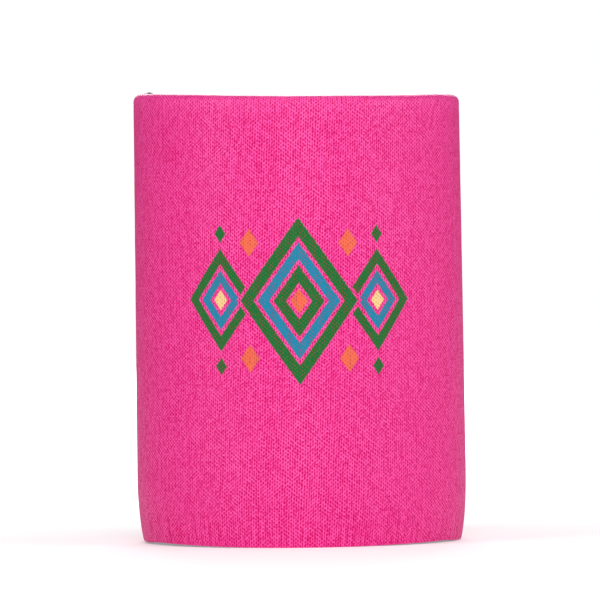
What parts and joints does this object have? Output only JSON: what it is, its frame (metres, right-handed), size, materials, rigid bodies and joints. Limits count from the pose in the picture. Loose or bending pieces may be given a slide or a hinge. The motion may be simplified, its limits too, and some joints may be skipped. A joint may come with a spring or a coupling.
{
  "type": "can cooler sleeve",
  "caption": "Open tube of knit-faced foam for a drinks can, sewn from two panels with zigzag side seams.",
  "frame": {"origin": "on the tube's axis, level with the cut edge of the hem that the sleeve stands on", "axes": "+Z along the tube's axis towards the lip, -Y out of the middle of the front panel, seams at +X and -X"},
  "size_m": [0.0716, 0.0716, 0.097],
  "materials": {
    "knit_laminate": "matt pink knit face bonded to dark foam with a dark lining",
    "seam_thread": "twisted polyester thread with a slight sheen"
  },
  "bodies": {
    "root": {"front_panel": "knit_laminate", "back_panel": "knit_laminate", "left_needle_thread": "seam_thread", "left_bobbin_thread": "seam_thread", "right_needle_thread": "seam_thread", "right_bobbin_thread": "seam_thread"}
  },
  "joints": []
}
